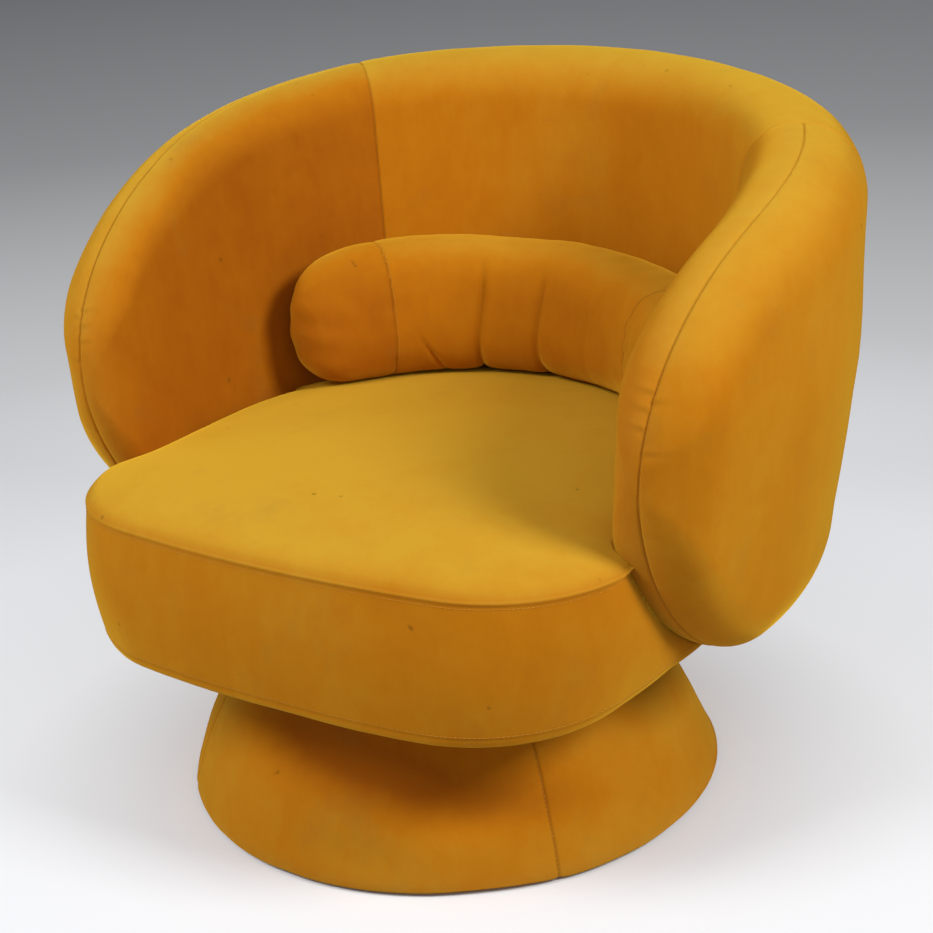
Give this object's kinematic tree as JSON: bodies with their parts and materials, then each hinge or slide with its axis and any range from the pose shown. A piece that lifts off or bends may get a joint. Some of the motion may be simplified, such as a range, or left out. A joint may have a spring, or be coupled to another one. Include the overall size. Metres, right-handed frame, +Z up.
{
  "type": "upholstered swivel chair",
  "caption": "Barrel chair in mustard velvet: a wrap-around padded back and arms on a rounded seat that turns on a flared upholstered base, with a loose channelled lumbar pillow.",
  "frame": {"origin": "on the floor, on the axis that the seat swivels about", "axes": "+Z is up, -Y is the way the sitter faces and +X is the sitter's left"},
  "size_m": [0.7994, 0.7495, 0.689],
  "materials": {
    "velvet": "matte",
    "foam": "matte",
    "filling": "matte",
    "felt": "matte",
    "dust_cloth": "matte",
    "webbing": "matte",
    "plywood": "matte",
    "hardboard": "matte",
    "steel": "satin",
    "acetal": "satin"
  },
  "bodies": {
    "base": {"floor_felt": "felt", "base_board": "plywood", "base_ribs": "plywood", "base_top_board": "plywood", "base_lining": "hardboard", "base_foam": "foam", "base_cover_front": "velvet", "base_cover_left": "velvet", "base_cover_right": "velvet", "swivel_lower_plate": "steel", "swivel_slide_ring": "acetal", "base_bolts": "steel", "base_nuts": "steel"},
    "seat": {"swivel_upper_plate": "steel", "swivel_pin": "steel", "seat_bolts": "steel", "seat_nuts": "steel", "seat_board": "plywood", "seat_rail": "plywood", "webbing_long": "webbing", "webbing_cross": "webbing", "seat_foam": "foam", "seat_top_cover": "velvet", "seat_band_cover": "velvet", "seat_dust_cloth": "dust_cloth", "frame_rail": "plywood", "frame_ribs": "plywood", "frame_inner_board": "hardboard", "frame_outer_board": "hardboard", "shell_foam": "foam", "back_cover": "velvet", "inner_arm_cover_left": "velvet", "inner_arm_cover_right": "velvet", "outer_arm_cover_left": "velvet", "outer_arm_cover_right": "velvet", "joining_screws": "steel"},
    "pillow": {"pillow_fill": "filling", "pillow_cover": "velvet"}
  },
  "joints": [
    {"name": "seat_swivel", "type": "hinge", "parent": "base", "child": "seat", "pos_m": [0, 0, 0.1775], "axis": [0, 0, 1], "continuous": true},
    {"name": "pillow_lift", "type": "slide", "parent": "seat", "child": "pillow", "axis": [0, 0, 1], "range_m": [0, 0.35]}
  ]
}
